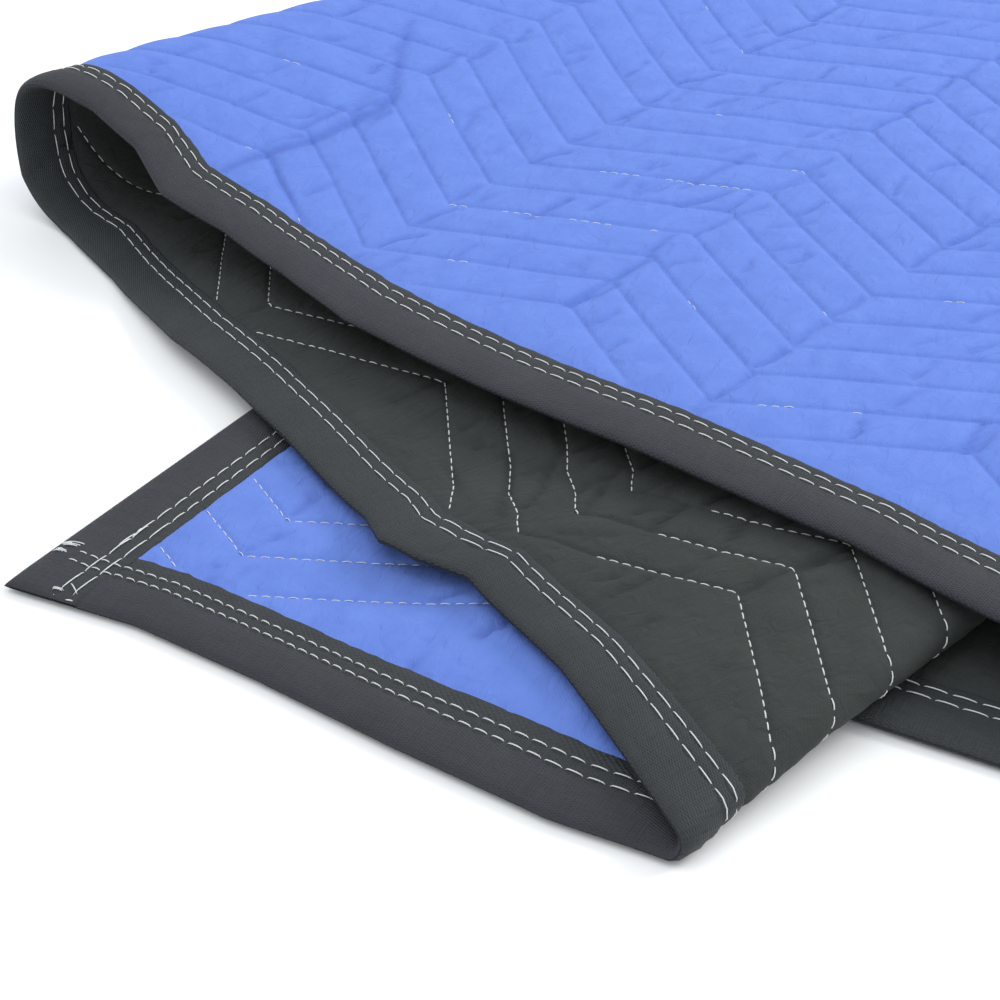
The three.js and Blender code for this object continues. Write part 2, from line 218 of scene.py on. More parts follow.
# Middle of the cloth's thickness, in millimetres
def middle(s, tFlat):
    s, tFlat = np.broadcast_arrays(np.asarray(s, float), np.asarray(tFlat, float))
    t = tFlat + np.interp(s, edgeCreep[:, 0], edgeCreep[:, 1]) * np.exp(
        -np.maximum(0, tFlat) / blanket["edgeReach"])
    dTwo, dOne, dFour = pastTwo(s, t), pastOne(s, t), pastFour(s, t)
    radius = folds["two"]["radius"]
    angle = np.clip(dTwo, 0, twoRun) / radius
    x = np.where(dTwo > twoRun, twoRun - dTwo, np.where(dTwo > 0, radius * np.sin(angle), dTwo))
    lower = combine(planTwo[0], alongTwo(s, t), planTwo[1], x, planTwo[2])
    lift = overFour(lower)
    opening = 2 * radius
    level = opening - (opening - levelTwo + levelThree) * ease(
        0, layerBlend["closing"], dTwo - twoRun)
    lowerZ = levelThree + level * (1 - np.cos(angle)) / 2 + blanket["coverLift"] * lift
    buckle = ((s - hump["s"]) / hump["along"]) ** 2 + (np.maximum(0, tFlat) / hump["across"]) ** 2
    lowerZ = lowerZ + hump["height"] * np.exp(-buckle) * (dTwo > twoRun)
    lowerZ = lowerZ - (levelTwo - levelThree) * pastLeftEdge(lower) * ease(
        0, layerBlend["lifting"], dTwo - twoRun)

    loopX, loopZ = loopAt(np.maximum(dOne, 0))
    upper = combine(planOne[0], alongOne(s, t), planOne[1], loopX, planOne[2])
    sink = settle["share"] * ease(settle["from"], settle["to"], tFlat) * ease(
        0, settle["start"], dOne)
    upperZ = levelTwo + loopZ - sink * (loopZ - loopTip[1])
    upperZ = upperZ + blanket["coverLift"] * overFour(upper) * (
        1 - ease(0, layerBlend["lifting"], dOne))
    upperZ = upperZ - (levelTwo - levelThree) * pastLeftEdge(upper) * (
        1 - ease(0, layerBlend["dropping"], dOne))
    flat = ease(0, swell["fade"], dOne - loopEnd) * ease(0, swell["fade"], -dFour)
    upperZ = upperZ - swell["height"] * np.cos(
        2 * math.pi * (s - swell["low"]) / swell["pitch"]) * flat

    turn = np.minimum(dFour, fourRun) / fourRadius
    x = np.where(dFour > fourRun, fourRun - dFour, fourRadius * np.sin(turn))
    right = combine(planFour[0], alongFour(s, t), planFour[1], x, planFour[2])
    rightZ = levelThree + fourRadius * (1 + np.cos(turn))

    inLower, inRight = dOne <= 0, (dOne > 0) & (dFour > 0)
    plan = np.where(inLower[..., None], lower, np.where(inRight[..., None], right, upper))
    z = np.where(inLower, lowerZ, np.where(inRight, rightZ, upperZ))
    return np.concatenate([plan, z[..., None]], -1)


frontTurn = np.array([heading(blanket["turnToFront"]), heading(blanket["turnToFront"] + 90)])


# Points of the cloth, n above its middle, in the row frame's metres
def place(s, t, n):
    s, t = np.broadcast_arrays(np.asarray(s, float), np.asarray(t, float))
    n = n - edgeDroop["depth"] * (1 - ease(0, edgeDroop["width"], t)) * ease(
        *edgeDroop["from"], s) * (1 - ease(*edgeDroop["to"], s))
    swollen = ease(*loopSwell["from"], s) * (1 - ease(*loopSwell["to"], s))
    n = n + loopSwell["out"] * swollen * (1 - loopSwell["turnsIn"] * ease(*loopSwell["deep"], t))
    point = middle(s, t)
    normal = np.cross(
        middle(s + 0.5, t) - middle(s - 0.5, t), middle(s, t + 0.5) - middle(s, t - 0.5))
    normal /= np.linalg.norm(normal, axis=-1, keepdims=True)
    point = point + normal * np.asarray(n)[..., None]
    turned = point[..., :2] @ frontTurn - np.array(blanket["centre"])
    return np.concatenate([turned, np.maximum(point[..., 2:], blanket["lowest"])], -1) * mm


# Smooth seeded noise over the flat cloth, from -1 to 1
def clothNoise(u, v, seed):
    size = 256
    grid = np.random.default_rng(seed).uniform(-1, 1, (size, size))
    iu, iv = np.floor(u).astype(int), np.floor(v).astype(int)
    fu, fv = u - iu, v - iv
    fu, fv = fu * fu * (3 - 2 * fu), fv * fv * (3 - 2 * fv)
    a, b = grid[iu % size, iv % size], grid[(iu + 1) % size, iv % size]
    c, d = grid[iu % size, (iv + 1) % size], grid[(iu + 1) % size, (iv + 1) % size]
    return (a * (1 - fu) + b * fu) * (1 - fv) + (c * (1 - fu) + d * fu) * fv


binding = {
    "face": 25.4,
    "tape": 0.7,
    "rows": (17.2, 21.9),
    "dimplePitch": 7.3,
    "dimpleDepth": 0.28,
    "dimpleReach": 1.3,
    "puff": 0.24,
    "finePuff": 0.1,
    "lipWander": 0.3,
    "skin": 1.25,
}
quilting = {
    "seamHalf": 1.15,
    "pressedHalf": 1.15,
    "crest": 2.45,
    "edgeCrest": 1.55,
    "edgeFade": 6.0,
    "calmEdge": 14.0,
    "seamShare": 0.46,
    "pillowShare": 0.54,
    "foldFlatten": 0.6,
    "foldReach": 9.0,
    "puckerDepth": 2.1,
    "wave": 0.18,
    "waveSize": (26.0, 22.0),
    "crumple": 0.2,
    "crumpleSize": (8.0, 15.0),
    "fine": 0.09,
    "fineSize": (3.6, 8.0),
    "thinnest": 0.3,
    "stitchPitch": 4.25,
}


def riseAt(s):
    return np.interp(s, zigzag[:, 0], zigzag[:, 1])


# Distance in from the nearest edge of the flat cloth
def edgeDistance(s, t):
    return np.minimum(
        np.minimum(s, blanket["length"] - s), np.minimum(t, blanket["width"] - t))


# The main creases, one by one: (s, t) from and to, how wide and how deep
handCreases = [
    ((781, 27), (781, 38), 2.0, 0.9), ((781, 38), (787, 73), 2.2, 1.2),
    ((787, 73), (787, 107), 2.4, 1.3), ((787, 107), (784, 118), 2.4, 1.2),
    ((784, 118), (764, 142), 2.2, 1.0), ((764, 142), (752, 160), 2.0, 0.8),
    ((785, 49), (801, 37), 1.8, 0.7), ((801, 37), (826, 27), 1.6, 0.7),
    ((907, 150), (910, 190), 1.6, 0.7), ((931, 56), (931, 78), 1.6, 1.0),
    ((882, 92), (883, 114), 1.6, 0.8), ((1081, 66), (1077, 84), 1.6, 1.0),
    ((1078, 94), (1072, 112), 1.6, 0.8), ((1066, 158), (1062, 176), 1.6, 0.8),
]
# Creases of the black side that run out from the hump
humpCreases = [
    ((368, 36), (382, 50), 1.8, 1.0), ((382, 50), (400, 62), 1.8, 0.8),
    ((378, 62), (392, 78), 1.6, 0.9), ((392, 78), (414, 88), 1.8, 0.7),
    ((362, 70), (372, 88), 1.6, 0.8), ((352, 40), (340, 56), 1.5, 0.7),
    ((386, 34), (408, 40), 1.6, 0.6), ((404, 104), (424, 112), 1.6, 0.6),
    ((350, 84), (356, 104), 1.5, 0.6), ((376, 108), (388, 124), 1.6, 0.6),
    ((470, 60), (500, 70), 2.2, 0.5), ((540, 90), (566, 84), 2.0, 0.5),
]


# Puckers: short troughs that cross a channel of the quilting, most of them at the zigzag's turns
def puckerTable(seed, amount):
    rng = np.random.default_rng(seed)
    table = []
    turns = zigzag[:, 0]
    for row in range(-1, 24):
        for index in range(len(turns) - 1):
            span = turns[index + 1] - turns[index]
            places = [turns[index] + rng.normal(0, 1.5)] if rng.random() < 0.8 else []
            places += list(turns[index] + span * rng.random(rng.poisson(amount * span / 78)))
            for number, s in enumerate(places):
                low = rng.uniform(0.0, 0.15) if number == 0 else rng.uniform(0.0, 0.45)
                high = min(1.0, low + rng.uniform(0.3, 0.7)) if number else rng.uniform(0.6, 1.0)
                lean = rng.normal(1.0, 3.0)
                t = riseAt(s) + row * rowPitch
                deep = rng.uniform(0.6, 1.0) if number == 0 else rng.uniform(0.2, 0.75)
                bend = rng.normal(0, 0.8)
                start, end = (s, t + low * rowPitch), (s + lean, t + high * rowPitch)
                half = ((start[0] + end[0]) / 2 + bend, (start[1] + end[1]) / 2)
                width = rng.uniform(0.9, 1.6)
                table += [(start, half, width, deep), (half, end, width * 1.1, deep * 0.85)]
    return table


def troughDepth(table, s, t):
    depth = np.zeros_like(s)
    for start, end, width, deep in table:
        ax, ay = start
        bx, by = end[0] - ax, end[1] - ay
        reach = 3 * width
        near = (s > min(ax, end[0]) - reach) & (s < max(ax, end[0]) + reach)
        near &= (t > min(ay, end[1]) - reach) & (t < max(ay, end[1]) + reach)
        share = np.clip(((s[near] - ax) * bx + (t[near] - ay) * by) / (bx * bx + by * by), 0, 1)
        away = np.hypot(s[near] - ax - share * bx, t[near] - ay - share * by)
        depth[near] = np.maximum(depth[near], deep * np.exp(-(away / width) ** 2))
    return depth


bluePuckers, blackPuckers = puckerTable(41, 2.6), puckerTable(42, 2.2)


# The quilting stops short of the edge: the lowest sewn row, counted from the zigzag table
def firstRow(s):
    return np.where(s < 347, 1.0, np.where(s < 640, 0.0, -1.0))


# Height of the quilted cover over the middle of the cloth; side is 1 for blue and -1 for black
def coverHeight(s, t, side):
    edge = edgeDistance(s, t)
    inward = ease(0, quilting["calmEdge"], edge - binding["face"])
    full = quilting["crest"] - (quilting["crest"] - quilting["edgeCrest"]) * np.exp(
        -np.maximum(0, edge - binding["face"]) / quilting["edgeFade"])
    row = (t - riseAt(s)) / rowPitch
    sewn = ease(firstRow(s) - 0.6, firstRow(s) - 0.4, row)
    away = np.abs(row - np.round(row)) * rowPitch
    flatten = 1 - quilting["foldFlatten"] * np.exp(
        -((pastTwo(s, t) - twoRun / 2) / quilting["foldReach"]) ** 2)
    pillow = 1 - sewn * flatten * (
        quilting["seamShare"] * np.exp(-away ** 2)
        + quilting["pillowShare"] * (1 - away / rowPitch * 2) ** 2)
    seed = 11 if side > 0 else 23
    sizes = [quilting[name] for name in ("waveSize", "crumpleSize", "fineSize")]
    wave = clothNoise(s / sizes[0][0], t / sizes[0][1], seed + 1)
    crumple = clothNoise(s / sizes[1][0] + 0.3 * row, t / sizes[1][1], seed + 2)
    fine = clothNoise(s / sizes[2][0] + 0.2 * row, t / sizes[2][1], seed + 3)
    height = quilting["seamHalf"] + (full - quilting["seamHalf"]) * pillow
    puckers = troughDepth(bluePuckers if side > 0 else blackPuckers, s, t)
    height = height - inward * quilting["puckerDepth"] * puckers * (0.3 + 0.7 * pillow)
    height = height + inward * (quilting["wave"] * wave + quilting["crumple"] * crumple * pillow
                                + quilting["fine"] * fine * pillow)
    height = height - inward * troughDepth(handCreases if side > 0 else humpCreases, s, t)
    pressed = quilting["pressedHalf"] * (0.4 + 0.6 * ease(1, 6, edge))
    return np.where(edge < binding["face"], pressed, np.maximum(height, quilting["thinnest"]))


# Stops from zone to zone, each (start, end, step), with the nearest ones moved onto the extras
def spacedStops(zones, extra=()):
    stops = [zones[0][0]]
    for start, end, step in zones:
        count = max(1, int(round((end - start) / step)))
        stops += [start + (end - start) * i / count for i in range(1, count + 1)]
    for value in extra:
        nearest = int(np.argmin(np.abs(np.array(stops) - value)))
        if 0 < nearest < len(stops) - 1:
            stops[nearest] = value
    return np.array(sorted(stops))


# Rows of the mesh in one channel of the quilting, as shares of its width
fineShares = (0.0, 0.035, 0.085, 0.15, 0.24, 0.34, 0.45, 0.55, 0.66, 0.76, 0.85, 0.915, 0.965)
coarseShares = (0.0, 0.08, 0.3, 0.6, 0.92)
# Where a cover starts under the tape, leaves it and is open, in from the edge
cover = {"clearance": 0.2, "tucked": 25.0, "open": 27.4, "hiddenStep": 12.0, "lipStep": 2.4}
coverEnd = blanket["length"] - cover["open"]


def makeMesh(name, points, faces, material, uv=None):
    mesh = bpy.data.meshes.new(name)
    mesh.from_pydata([tuple(p) for p in points], [], [tuple(int(i) for i in f) for f in faces])
    mesh.polygons.foreach_set("use_smooth", [True] * len(mesh.polygons))
    if uv is not None:
        flatMap = mesh.uv_layers.new(name="flatCloth")
        loops = np.zeros(len(mesh.loops), dtype=np.int32)
        mesh.loops.foreach_get("vertex_index", loops)
        flatMap.data.foreach_set("uv", (np.asarray(uv)[loops] * mm).ravel())
    mesh.materials.append(material)
    mesh.update()
    piece = bpy.data.objects.new(name, mesh)
    bpy.context.scene.collection.objects.link(piece)
    return piece


# One cover: columns across the cloth, each with rows that follow the quilting seams.
# A zone is start, end, step, and how far back its rows are fine.
def makeCover(name, material, side, zones):
    inset, tucked = 2 * binding["tape"] + cover["clearance"], cover["tucked"]
    farTucked = blanket["length"] - tucked
    columns = spacedStops(
        [(inset, tucked, cover["hiddenStep"]), (tucked, cover["open"], cover["lipStep"])]
        + [zone[:3] for zone in zones]
        + [(coverEnd, farTucked, cover["lipStep"]),
           (farTucked, blanket["length"] - inset, cover["hiddenStep"])], zigzag[1:-1, 0])
    points, keys, ids = [], [], []
    first, last = cover["open"], blanket["width"] - cover["open"]
    for s in columns:
        rise = float(riseAt(s))
        fineUntil = [zone[3] for zone in zones if s >= zone[0]][-1:] or [0]
        inner = []
        low, high = math.floor((first - rise) / rowPitch), math.ceil((last - rise) / rowPitch)
        for row in range(low, high):
            start = rise + row * rowPitch
            for share in (fineShares if start < fineUntil[0] else coarseShares):
                t = start + share * rowPitch
                if first + 1.0 < t < last - 1.0:
                    inner.append(t)
        ts = [inset, tucked, first] + inner
        ts += [last, blanket["width"] - tucked, blanket["width"] - inset]
        border = 1e4
        key = [-3 * border, -2 * border, -border] + [(t - rise) / rowPitch for t in inner]
        key += [border, 2 * border, 3 * border]
        ids.append(list(range(len(points), len(points) + len(ts))))
        points += [(s, t) for t in ts]
        keys.append(key)
    faces = []
    for i in range(len(columns) - 1):
        a, b, ka, kb = ids[i], ids[i + 1], keys[i], keys[i + 1]
        j = k = 0
        while j < len(a) - 1 or k < len(b) - 1:
            stepLeft = k == len(b) - 1 or (j < len(a) - 1 and ka[j + 1] < kb[k + 1] - 1e-6)
            if j < len(a) - 1 and k < len(b) - 1 and abs(ka[j + 1] - kb[k + 1]) < 1e-6:
                faces.append((a[j], b[k], b[k + 1], a[j + 1]))
                j, k = j + 1, k + 1
            elif stepLeft:
                faces.append((a[j], b[k], a[j + 1]))
                j += 1
            else:
                faces.append((a[j], b[k], b[k + 1]))
                k += 1
    if side < 0:
        faces = [face[::-1] for face in faces]
    flat = np.array(points)
    s, t = flat[:, 0], flat[:, 1]
    placed = place(s, t, side * coverHeight(s, t, side))
    piece = makeMesh(name, placed, faces, material, flat)
    tables = (bluePuckers, handCreases) if side > 0 else (blackPuckers, humpCreases)
    # Depth of the crease troughs, kept as the mask for the painted shade that darkens the cloth's
    # colour in them
    creaseShadeMask = np.maximum(troughDepth(tables[0], s, t), troughDepth(tables[1], s, t))
    shading = piece.data.attributes.new("creaseShadeMask", "FLOAT", "POINT")
    shading.data.foreach_set("value", creaseShadeMask.astype(np.float32))
    print(name, "faces", len(faces))
    return piece


# A node group that reads the flat cloth: the group, its ends and the flat map's node
def startGroup(name, inputs, outputs):
    group = bpy.data.node_groups.new(name, "ShaderNodeTree")
    kinds = [("INPUT", label) for label in inputs] + [("OUTPUT", label) for label in outputs]
    for end, label in kinds:
        socket = group.interface.new_socket(
            name=label, in_out=end, socket_type="NodeSocketFloat")
        if end == "INPUT":
            socket.default_value = inputs[label]
    given, result = group.nodes.new("NodeGroupInput"), group.nodes.new("NodeGroupOutput")
    flat = group.nodes.new("ShaderNodeUVMap")
    flat.uv_map = "flatCloth"
    return group, given, result, flat


def calc(tree, operation, *values):
    node = tree.nodes.new("ShaderNodeMath")
    node.operation = operation
    for socket, value in zip(node.inputs, values):
        if isinstance(value, (int, float)):
            socket.default_value = value
        else:
            tree.links.new(value, socket)
    return node.outputs[0]


def scaleVector(tree, vector, factors):
    node = tree.nodes.new("ShaderNodeVectorMath")
    node.operation = "MULTIPLY"
    tree.links.new(vector, node.inputs[0])
    node.inputs[1].default_value = factors
    return node.outputs[0]


def noiseTexture(tree, vector, values, dimensions="2D"):
    noise = tree.nodes.new("ShaderNodeTexNoise")
    noise.noise_dimensions = dimensions
    tree.links.new(vector, noise.inputs["Vector"])
    for label, value in values.items():
        if isinstance(value, (int, float)):
            noise.inputs[label].default_value = value
        else:
            tree.links.new(value, noise.inputs[label])
    return noise.outputs[0]


# Woven yarns over the flat cloth: height for the bump, tone for the colour
def yarnGroup():
    group, given, result, flat = startGroup(
        "wovenYarns", {"Warp Pitch": 0.6, "Weft Pitch": 0.6, "Slub": 0.5}, ("Height", "Tone"))
    split = group.nodes.new("ShaderNodeSeparateXYZ")
    group.links.new(flat.outputs[0], split.inputs[0])

    def yarnWave(axis, pitch):
        cycles = calc(group, "MULTIPLY", split.outputs[axis], 1000 * math.pi)
        return calc(group, "SINE", calc(group, "DIVIDE", cycles, pitch))

    def slubNoise(alongU, alongV):
        noise = noiseTexture(
            group, scaleVector(group, flat.outputs[0], (alongU, alongV, 0)),
            {"Scale": 1.0, "Detail": 2.0})
        return calc(group, "SUBTRACT", noise, 0.5)

    over = calc(group, "MULTIPLY", yarnWave("X", given.outputs["Warp Pitch"]),
                yarnWave("Y", given.outputs["Weft Pitch"]))
    slub = calc(group, "ADD", slubNoise(1500, 90), slubNoise(90, 1500))
    slub = calc(group, "MULTIPLY", slub, given.outputs["Slub"])
    for label, share in (("Height", 0.5), ("Tone", 0.25)):
        woven = calc(group, "ADD", calc(group, "MULTIPLY", over, share), slub)
        group.links.new(woven, result.inputs[label])
    return group


# Soft cloudy unevenness of dye and handling, from the flat cloth
def cloudGroup():
    group, given, result, flat = startGroup("dyeClouds", {"Size": 0.03, "Detail": 3.0}, ("Tone",))
    scale = calc(group, "DIVIDE", 1.0, given.outputs["Size"])
    noise = noiseTexture(
        group, flat.outputs[0], {"Scale": scale, "Detail": given.outputs["Detail"]}, "3D")
    group.links.new(calc(group, "SUBTRACT", noise, 0.5), result.inputs["Tone"])
    return group


# Fine irregular rumples, longer along the cloth's width than its length
def rumpleGroup():
    group, given, result, flat = startGroup("fineRumples", {"Pitch": 0.004}, ("Height",))
    stretched = scaleVector(group, flat.outputs[0], (1.0, 0.45, 0))
    scale = calc(group, "DIVIDE", 1.0, given.outputs["Pitch"])
    noise = noiseTexture(group, stretched, {"Scale": scale, "Detail": 3.0, "Distortion": 0.6})
    group.links.new(noise, result.inputs["Height"])
    return group


yarns, clouds, rumples = yarnGroup(), cloudGroup(), rumpleGroup()


def multiplyColor(tree, factor, color, tint):
    blend = tree.nodes.new("ShaderNodeMix")
    blend.data_type, blend.blend_type = "RGBA", "MULTIPLY"
    base, over = blend.inputs[6], blend.inputs[7]
    tree.links.new(color, base)
    if isinstance(factor, float):
        blend.inputs["Factor"].default_value = factor
    else:
        tree.links.new(factor, blend.inputs["Factor"])
    if isinstance(tint, tuple):
        over.default_value = (*tint, 1)
    else:
        tree.links.new(tint, over)
    return blend.outputs[2]


# Tints the colour by the distance across the tape: (distance in mm, tint) pairs
def bandTint(tree, bands, color):
    span = 100
    flat, split = tree.nodes.new("ShaderNodeUVMap"), tree.nodes.new("ShaderNodeSeparateXYZ")
    flat.uv_map = "flatCloth"
    tree.links.new(flat.outputs[0], split.inputs[0])
    ramp = tree.nodes.new("ShaderNodeValToRGB")
    elements = ramp.color_ramp.elements
    for index, (distance, tint) in enumerate(bands):
        stop = elements[index] if index < 2 else elements.new(distance / span)
        stop.position, stop.color = distance / span, (*tint, 1)
    tree.links.new(calc(tree, "MULTIPLY", split.outputs["Y"], 1000 / span), ramp.inputs[0])
    return multiplyColor(tree, 1.0, color, ramp.outputs[0])


def useGroup(tree, group, values):
    node = tree.nodes.new("ShaderNodeGroup")
    node.node_tree = group
    for label, value in values.items():
        node.inputs[label].default_value = value
    return node


def bumpFrom(tree, height, strength, distance):
    bump = tree.nodes.new("ShaderNodeBump")
    bump.inputs["Strength"].default_value = strength
    bump.inputs["Distance"].default_value = distance
    tree.links.new(height, bump.inputs["Height"])
    return bump


def newMaterial(name):
    material = bpy.data.materials.new(name)
    material.use_nodes = True
    return material, material.node_tree, material.node_tree.nodes["Principled BSDF"]


# Cloth finish: colours from groove to crest, painted shade darkening the crease troughs, yarns in
# the bump, a little sheen
def clothFinish(name, look):
    material, tree, shader = newMaterial(name)
    weave = useGroup(tree, yarns, {
        "Warp Pitch": look["warpPitch"], "Weft Pitch": look["weftPitch"], "Slub": look["slub"]})
    cloud = useGroup(tree, clouds, {"Size": look["cloudSize"]})
    cloudy = calc(tree, "MULTIPLY_ADD", cloud.outputs["Tone"], look["cloudTone"], 0.5)
    tone = calc(tree, "MULTIPLY_ADD", weave.outputs["Tone"], look["yarnTone"], cloudy)
    ramp = tree.nodes.new("ShaderNodeValToRGB")
    ramp.color_ramp.elements[0].color = (*look["dark"], 1)
    ramp.color_ramp.elements[1].color = (*look["light"], 1)
    tree.links.new(tone, ramp.inputs[0])
    color = ramp.outputs[0]
    if "bands" in look:
        color = bandTint(tree, look["bands"], color)
    # Painted shade: the colour is multiplied darker in the crease troughs, by their depth, where
    # shade falls in the folds
    if "creaseShadeTint" in look:
        creaseShadeNode = tree.nodes.new("ShaderNodeAttribute")
        creaseShadeNode.attribute_name = "creaseShadeMask"
        color = multiplyColor(tree, creaseShadeNode.outputs["Fac"], color, look["creaseShadeTint"])
    tree.links.new(color, shader.inputs["Base Color"])
    rumple = useGroup(tree, rumples, {"Pitch": look["rumplePitch"]})
    soft = bumpFrom(tree, rumple.outputs["Height"], 1.0, look["rumpleDepth"])
    bump = bumpFrom(tree, weave.outputs["Height"], look["bump"], look["bumpDepth"])
    tree.links.new(soft.outputs[0], bump.inputs["Normal"])
    tree.links.new(bump.outputs[0], shader.inputs["Normal"])
    shader.inputs["Roughness"].default_value = look["roughness"]
    shader.inputs["Specular IOR Level"].default_value = look["specular"]
    shader.inputs["Sheen Weight"].default_value = look["sheen"]
    shader.inputs["Sheen Roughness"].default_value = 0.5
    shader.inputs["Sheen Tint"].default_value = (*look["sheenTint"], 1)
    return material


# Each cloth's crease tint is painted shade, multiplied into its crease troughs
blueLook = {
    "warpPitch": 0.7, "weftPitch": 0.7, "slub": 0.8, "cloudSize": 0.012,
    "yarnTone": 0.1, "cloudTone": 0.6, "bump": 0.25, "bumpDepth": 0.00015,
    "dark": (0.085, 0.153, 0.505), "light": (0.150, 0.256, 0.685),
    "rumplePitch": 0.0045, "rumpleDepth": 0.0009, "creaseShadeTint": (0.74, 0.76, 0.84),
    "roughness": 0.9, "specular": 0.2, "sheen": 0.06, "sheenTint": (0.75, 0.8, 1.0),
}
blackLook = {
    "warpPitch": 0.6, "weftPitch": 0.6, "slub": 0.8, "cloudSize": 0.02,
    "yarnTone": 0.35, "cloudTone": 0.5, "bump": 0.4, "bumpDepth": 0.0002,
    "dark": (0.024, 0.027, 0.026), "light": (0.050, 0.056, 0.054),
    "rumplePitch": 0.005, "rumpleDepth": 0.0012, "creaseShadeTint": (0.78, 0.78, 0.78),
    "roughness": 0.9, "specular": 0.15, "sheen": 0.03, "sheenTint": (0.9, 1.0, 0.95),
}
tapeLook = {
    "warpPitch": 1.1, "weftPitch": 0.45, "slub": 0.8, "cloudSize": 0.02,
    "yarnTone": 0.6, "cloudTone": 0.5, "bump": 0.8, "bumpDepth": 0.0003,
    "dark": (0.020, 0.022, 0.026), "light": (0.044, 0.048, 0.055),
    "bands": [(2, (0.88, 0.88, 0.96)), (14, (1.0, 1.0, 1.04)), (20, (0.95, 1.0, 0.95)),
              (40, (0.85, 0.9, 0.85)), (62, (0.88, 0.95, 0.87)), (90, (0.88, 0.95, 0.87))],
    "rumplePitch": 0.004, "rumpleDepth": 0.0004,
    "roughness": 0.65, "specular": 0.3, "sheen": 0.02, "sheenTint": (0.95, 0.97, 1.0),
}
blueCloth = clothFinish("blueCloth", blueLook)
blackCloth = clothFinish("blackCloth", blackLook)
blackTape = clothFinish("blackTape", tapeLook)


threadLook = {
    "twist": 700, "wander": 1.5, "dark": (0.50, 0.52, 0.52), "light": (0.78, 0.80, 0.79),
    "bump": 0.4, "bumpDepth": 0.0001, "roughness": 0.7, "sheen": 0.2,
}


def plainFinish(name, color, roughness):
    material, tree, shader = newMaterial(name)
    shader.inputs["Base Color"].default_value = (*color, 1)
    shader.inputs["Roughness"].default_value = roughness
    return material


# Twisted cotton thread: fine slanting twist in the bump
def threadFinish():
    material, tree, shader = newMaterial("whiteThread")
    wave = tree.nodes.new("ShaderNodeTexWave")
    wave.inputs["Scale"].default_value = threadLook["twist"]
    wave.inputs["Distortion"].default_value = threadLook["wander"]
    spot = tree.nodes.new("ShaderNodeTexCoord")
    tree.links.new(spot.outputs["Object"], wave.inputs["Vector"])
    ramp = tree.nodes.new("ShaderNodeValToRGB")
    ramp.color_ramp.elements[0].color = (*threadLook["dark"], 1)
    ramp.color_ramp.elements[1].color = (*threadLook["light"], 1)
    tree.links.new(wave.outputs[1], ramp.inputs[0])
    tree.links.new(ramp.outputs[0], shader.inputs["Base Color"])
    bump = bumpFrom(tree, wave.outputs[1], threadLook["bump"], threadLook["bumpDepth"])
    tree.links.new(bump.outputs[0], shader.inputs["Normal"])
    shader.inputs["Roughness"].default_value = threadLook["roughness"]
    shader.inputs["Sheen Weight"].default_value = threadLook["sheen"]
    return material


whiteThread = threadFinish()
print("finishes ready")

faceCover = makeCover("faceCover", blueCloth, 1, [
    (cover["open"], 196, 3.0, 130), (196, 268, 2.4, 0), (268, 365, 9.0, 0), (365, 640, 14.0, 0),
    (640, 700, 3.0, 120), (700, 840, 1.7, 290), (840, 1110, 1.45, 350), (1110, 1285, 5.0, 60),
    (1285, coverEnd, 12.0, 0)])
backCover = makeCover("backCover", blackCloth, -1, [
    (cover["open"], 200, 12.0, 0), (200, 365, 1.9, 200), (365, 640, 2.1, 240),
    (640, 930, 4.0, 130), (930, 1170, 12.0, 0), (1170, coverEnd, 5.0, 100)])

# Section of the folded tape over one face: distance in from the edge, height over the middle
tapeProfile = [
    (0.0, 0.0), (0.15, 0.6), (0.7, 1.2), (1.7, 1.65), (3.2, 2.0), (5.5, 2.28), (8.5, 2.48),
    (12.0, 2.45), (14.8, 2.2), (16.4, 1.95), (17.2, 1.85), (18.2, 1.95), (19.6, 2.0),
    (20.9, 1.86), (21.9, 1.66), (22.9, 1.68), (24.2, 1.6), (25.2, 1.5), (25.5, 1.3),
]
# Near the left corner the front tape's rows run closer to the edge and its lip reaches further in
cornerShift = {
    "into": [0, 12.0, 17.2, 21.9, 25.5],
    "moved": [-1.7, 9.6, 15.1, 19.9, 26.8],
    "span": (186.0, 226.0),
}
# Where the outer part of the front tape bellies out: s, how far
edgeBelly = np.array([(588, 0), (604, 1.5), (620, 3.2), (629, 1.2), (638, 0)], float)
# Creases across the front tape: s, lean with the distance in, width, depth
tapeCreases = [
    (664.0, 0.5, 1.6, 0.7), (671.0, -0.35, 1.3, 0.55), (678.0, 0.3, 1.6, 0.4),
    (741.0, 0.8, 1.8, 0.5), (752.0, 0.3, 1.5, 0.45), (760.0, -0.5, 1.6, 0.35),
    (232.0, 0.5, 1.5, 0.5), (360.0, -0.4, 2.2, 0.5), (30.0, -0.5, 1.6, 0.35),
    (598.0, 0.4, 1.8, 0.4),
]


# Flat place of a point of the front tape, from its station and its distance in from the edge
def frontTapeAt(station, into):
    share = 1 - ease(*cornerShift["span"], station)
    moved = np.interp(into, cornerShift["into"], cornerShift["moved"])
    belly = np.interp(station, edgeBelly[:, 0], edgeBelly[:, 1]) * np.maximum(0, 1 - into / 16)
    return station, into + (moved - into) * share - belly


def tapeHeight(into):
    intos = [point[0] for point in tapeProfile[:-2]]
    heights = [point[1] for point in tapeProfile[:-2]]
    return np.interp(into, intos, heights)


